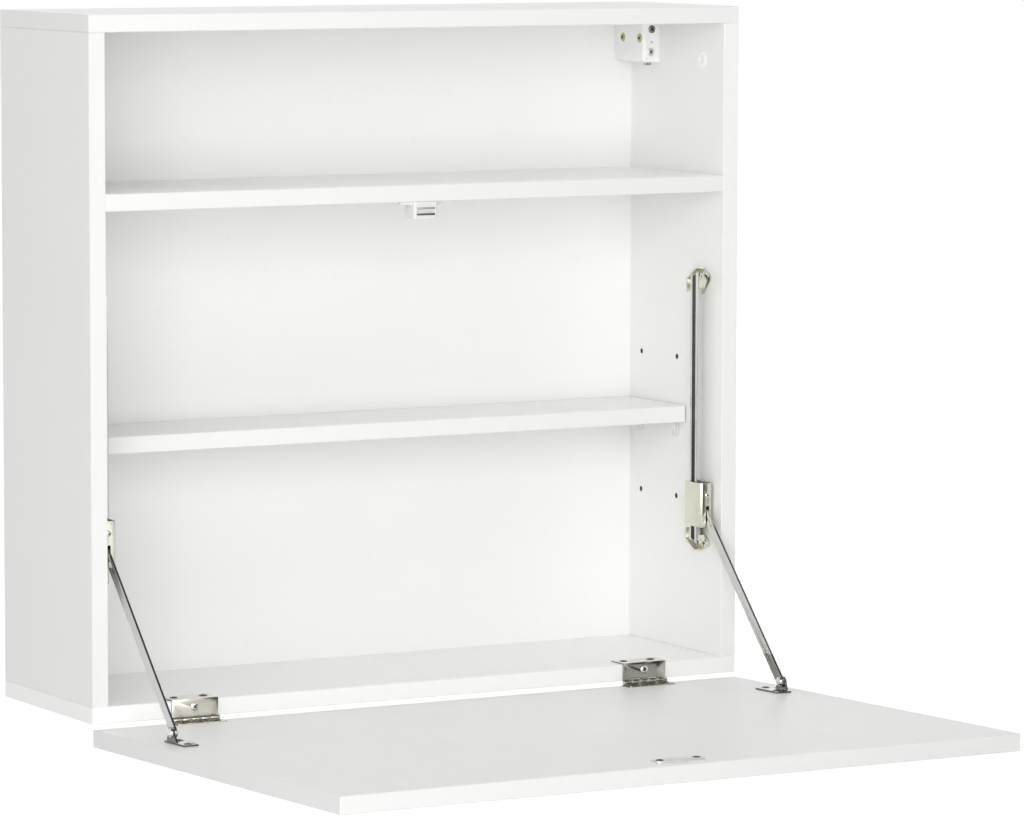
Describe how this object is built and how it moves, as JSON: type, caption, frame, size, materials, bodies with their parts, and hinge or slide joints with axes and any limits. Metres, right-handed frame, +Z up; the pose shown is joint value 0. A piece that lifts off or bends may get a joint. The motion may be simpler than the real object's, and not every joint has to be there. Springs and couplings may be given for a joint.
{
  "type": "fold down wall desk",
  "caption": "Shallow white wall cabinet with an open top bay and shelves, whose front flap folds down on hinges and sliding stays to make a desk top.",
  "frame": {"origin": "on the wall plane, at the middle of the bottom panel's rear face", "axes": "+X to the user's right, +Y into the wall, +Z up"},
  "size_m": [0.64, 0.6363, 0.621],
  "materials": {
    "white_board": "white melamine, satin",
    "white_back": "white lacquered fibreboard, satin",
    "beech": "raw beech",
    "zinc": "zinc plated",
    "nickel": "nickel plated, satin",
    "bright_nickel": "nickel plated, bright",
    "dark_steel": "dark oxidised screws",
    "brass_screw": "yellow zinc screws",
    "white_plastic": "moulded, semi gloss",
    "clear_plastic": "clear moulded",
    "black_plastic": "moulded, matte",
    "magnet": "ferrite",
    "strike_steel": "zinc plated, pale"
  },
  "bodies": {
    "cabinet": {"back_panel": "white_back", "bottom_panel": "white_board", "cam_bolts": "zinc", "cam_caps": "white_plastic", "cam_locks": "zinc", "carcass_screws": "zinc", "catch_housing": "white_plastic", "catch_magnet": "magnet", "catch_pole_plates": "zinc", "catch_screws": "zinc", "fixed_shelf": "white_board", "hanger_adjusters": "dark_steel", "hanger_housing_left": "white_plastic", "hanger_housing_right": "white_plastic", "hanger_lift_screws": "zinc", "hanger_screws": "brass_screw", "hinge_frame_leaf_left": "nickel", "hinge_frame_leaf_right": "nickel", "hinge_frame_screws": "bright_nickel", "hinge_pin_left": "bright_nickel", "hinge_pin_right": "bright_nickel", "left_side_panel": "white_board", "right_side_panel": "white_board", "shelf_pins": "clear_plastic", "stay_bracket_screws": "bright_nickel", "stay_liner_left": "black_plastic", "stay_liner_right": "black_plastic", "stay_lower_bracket_left": "nickel", "stay_lower_bracket_right": "nickel", "stay_rail_left": "nickel", "stay_rail_right": "nickel", "stay_upper_bracket_left": "nickel", "stay_upper_bracket_right": "nickel", "top_panel": "white_board", "wooden_dowels": "beech"},
    "flap": {"flap_bracket_screws": "bright_nickel", "flap_panel": "white_board", "hinge_flap_leaf_left": "nickel", "hinge_flap_leaf_right": "nickel", "hinge_flap_screws": "bright_nickel", "stay_flap_bracket_left": "nickel", "stay_flap_bracket_right": "nickel", "stay_rivet_left": "bright_nickel", "stay_rivet_right": "bright_nickel", "strike_plate": "strike_steel", "strike_screws": "strike_steel"},
    "adjustable_shelf": {"adjustable_shelf": "white_board"},
    "link_left": {"stay_link_left": "nickel"},
    "slider_left": {"stay_slider_left": "nickel", "stay_slider_pin_left": "bright_nickel", "stay_brake_pad_left": "black_plastic", "stay_brake_screw_left": "bright_nickel"},
    "hook_left": {"hanger_hook_left": "zinc"},
    "link_right": {"stay_link_right": "nickel"},
    "slider_right": {"stay_slider_right": "nickel", "stay_slider_pin_right": "bright_nickel", "stay_brake_pad_right": "black_plastic", "stay_brake_screw_right": "bright_nickel"},
    "hook_right": {"hanger_hook_right": "zinc"}
  },
  "joints": [
    {"name": "flap_hinge", "type": "hinge", "parent": "cabinet", "child": "flap", "pos_m": [0, -0.1845, -0.0087], "axis": [-1, 0, 0], "range_deg": [0, 88.5]},
    {"name": "link_pivot_left", "type": "hinge", "parent": "flap", "child": "link_left", "pos_m": [-0.298, -0.2948, 0.00039], "axis": [-1, 0, 0], "range_deg": [-129, 0]},
    {"name": "slider_pivot_left", "type": "hinge", "parent": "link_left", "child": "slider_left", "pos_m": [-0.298, -0.1651, 0.1365], "axis": [-1, 0, 0], "range_deg": [0, 40]},
    {"name": "link_pivot_right", "type": "hinge", "parent": "flap", "child": "link_right", "pos_m": [0.298, -0.2948, 0.00039], "axis": [-1, 0, 0], "range_deg": [-129, 0]},
    {"name": "slider_pivot_right", "type": "hinge", "parent": "link_right", "child": "slider_right", "pos_m": [0.298, -0.1651, 0.1365], "axis": [-1, 0, 0], "range_deg": [0, 40]},
    {"name": "shelf_lift", "type": "slide", "parent": "cabinet", "child": "adjustable_shelf", "axis": [0, 0, 1], "range_m": [0, 0.03]},
    {"name": "hook_height_left", "type": "slide", "parent": "cabinet", "child": "hook_left", "axis": [0, 0, 1], "range_m": [-0.004, 0.004]},
    {"name": "hook_height_right", "type": "slide", "parent": "cabinet", "child": "hook_right", "axis": [0, 0, 1], "range_m": [-0.004, 0.004]}
  ],
  "couplings": [
    {"joint": "link_pivot_left", "follows": "flap_hinge", "ratio": -1.4474},
    {"joint": "slider_pivot_left", "follows": "flap_hinge", "ratio": 0.44738},
    {"joint": "link_pivot_right", "follows": "flap_hinge", "ratio": -1.4474},
    {"joint": "slider_pivot_right", "follows": "flap_hinge", "ratio": 0.44738}
  ]
}
